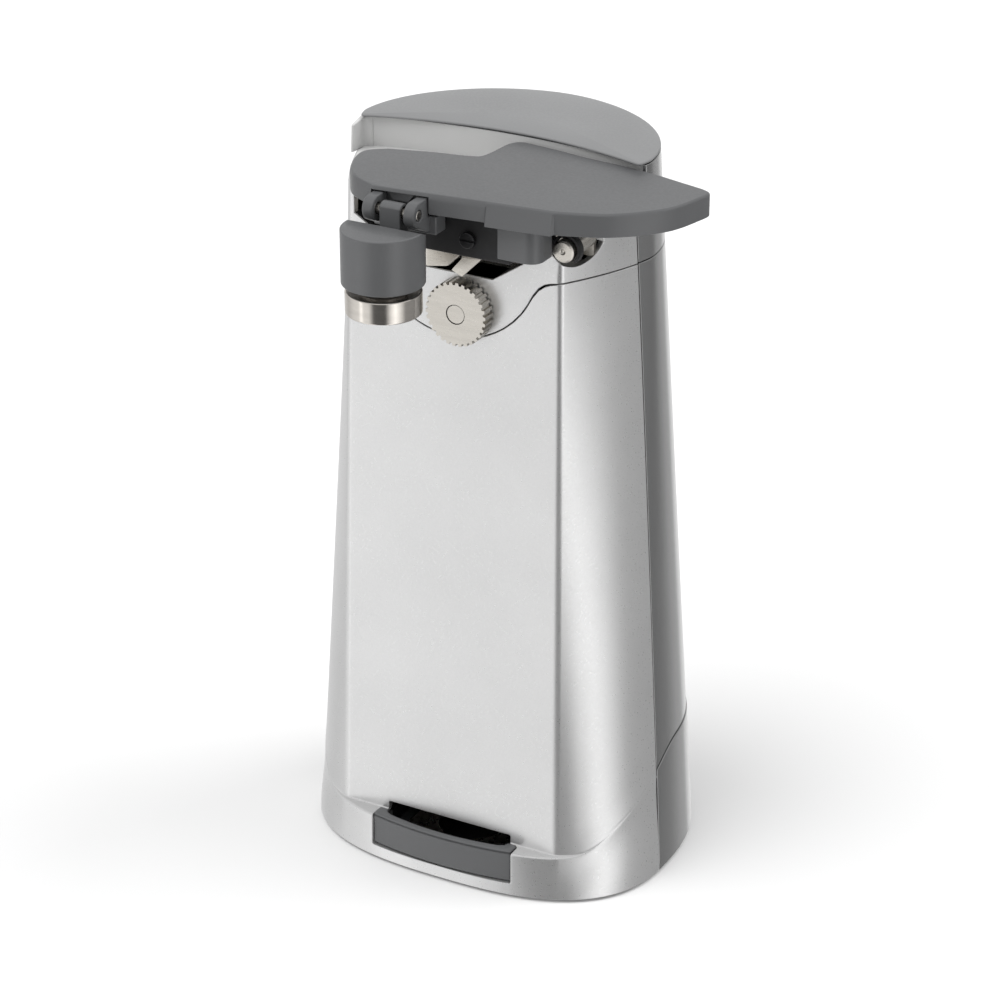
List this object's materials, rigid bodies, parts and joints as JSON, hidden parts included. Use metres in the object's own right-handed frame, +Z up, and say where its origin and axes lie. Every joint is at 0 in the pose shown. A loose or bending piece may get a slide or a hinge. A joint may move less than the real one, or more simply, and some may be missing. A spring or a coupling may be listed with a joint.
{
  "type": "electric can opener",
  "caption": "Upright mains can opener: a pivoting lever with a cutter and a lid magnet, a toothed drive wheel, a rear knife sharpener and a pull-out bottle opener.",
  "frame": {"origin": "on the surface the feet rest on, under the middle of the outer box", "axes": "+Z up; the front with the cutter and the drawer faces -Y; +X to the right seen from the front, where the lever reaches out"},
  "size_m": [0.1393, 0.1458, 0.2488],
  "materials": {
    "silver_paint": "satin metallic silver paint on plastic",
    "rear_silver": "glossy silver paint on plastic",
    "cap_grey": "satin mid grey",
    "grey_plastic": "satin dark grey",
    "black_plastic": "fine matt",
    "rubber": "matt",
    "brushed_steel": "finely ground",
    "nickel": "bright nickel plate",
    "ferrite": "dark sintered or laminated iron",
    "copper": "enamelled copper wire",
    "nylon": "natural nylon",
    "grinding_stone": "fine abrasive"
  },
  "bodies": {
    "housing": {"front_shell": "silver_paint", "head_front": "silver_paint", "rear_shell": "rear_silver", "rear_base": "rear_silver", "head_rear": "rear_silver", "top_cap": "cap_grey", "base_plate": "black_plastic", "foot_front_left": "rubber", "foot_front_right": "rubber", "foot_rear_left": "rubber", "foot_rear_right": "rubber", "drawer_rail_left": "black_plastic", "drawer_rail_right": "black_plastic", "cord_gland": "black_plastic", "sharpener_guide": "black_plastic", "switch_body": "black_plastic", "chassis_plate": "brushed_steel", "pivot_stud": "brushed_steel", "gear_plate": "brushed_steel", "gearbox_post_1": "brushed_steel", "gearbox_post_2": "brushed_steel", "gearbox_post_3": "brushed_steel", "gearbox_post_4": "brushed_steel", "motor_core": "ferrite", "coil_bobbin": "black_plastic", "motor_coil": "copper", "motor_bolt_left": "brushed_steel", "motor_bolt_right": "brushed_steel", "rear_bracket": "brushed_steel"},
    "lever": {"lever": "grey_plastic", "lever_carrier": "black_plastic", "cutter_blade": "brushed_steel", "rim_bar": "brushed_steel", "blade_screw": "brushed_steel", "magnet_bracket": "grey_plastic", "magnet_hinge_pin": "brushed_steel"},
    "magnet": {"magnet_arm": "grey_plastic", "magnet_cup": "nickel", "magnet_disc": "ferrite"},
    "plunger": {"switch_plunger": "grey_plastic"},
    "drawer": {"drawer_tray": "grey_plastic", "drawer_opener_plate": "brushed_steel"},
    "rotor": {"rotor_shaft": "brushed_steel", "rotor_core": "ferrite", "motor_pinion": "brushed_steel", "cooling_fan": "nylon", "grinding_wheel_front": "grinding_stone", "grinding_wheel_rear": "grinding_stone"},
    "first_stage": {"first_gear": "nylon", "first_pinion": "brushed_steel", "first_gear_shaft": "brushed_steel"},
    "second_stage": {"second_gear": "nylon", "second_pinion": "brushed_steel", "second_gear_shaft": "brushed_steel"},
    "output_stage": {"output_gear": "brushed_steel", "drive_shaft": "brushed_steel", "drive_wheel": "brushed_steel"}
  },
  "joints": [
    {"name": "lever_pivot", "type": "hinge", "parent": "housing", "child": "lever", "pos_m": [0.0337, -0.0251, 0.2283], "axis": [0, 1, 0], "range_deg": [0, 12]},
    {"name": "magnet_swing", "type": "hinge", "parent": "lever", "child": "magnet", "pos_m": [-0.0115, -0.0501, 0.2393], "axis": [-1, 0, 0], "range_deg": [0, 50]},
    {"name": "plunger_slide", "type": "slide", "parent": "housing", "child": "plunger", "axis": [0, 0, 1], "range_m": [0, 0.0031]},
    {"name": "drawer_slide", "type": "slide", "parent": "housing", "child": "drawer", "axis": [0, -1, 0], "range_m": [0, 0.032]},
    {"name": "rotor_spin", "type": "hinge", "parent": "housing", "child": "rotor", "pos_m": [-0.0065, -0.0101, 0.15], "axis": [0, 1, 0], "continuous": true},
    {"name": "first_gear_spin", "type": "hinge", "parent": "housing", "child": "first_stage", "pos_m": [-0.0174, -0.0101, 0.16888], "axis": [0, 1, 0], "continuous": true},
    {"name": "second_gear_spin", "type": "hinge", "parent": "housing", "child": "second_stage", "pos_m": [0.00081, -0.0051, 0.17894], "axis": [0, 1, 0], "continuous": true},
    {"name": "output_spin", "type": "hinge", "parent": "housing", "child": "output_stage", "pos_m": [-0.0025, -0.0001, 0.2015], "axis": [0, 1, 0], "continuous": true}
  ],
  "couplings": [
    {"joint": "plunger_slide", "follows": "lever_pivot", "m_per_rad": 0.014324},
    {"joint": "first_gear_spin", "follows": "rotor_spin", "ratio": -0.26316},
    {"joint": "second_gear_spin", "follows": "rotor_spin", "ratio": 0.073099},
    {"joint": "output_spin", "follows": "rotor_spin", "ratio": -0.018275}
  ]
}
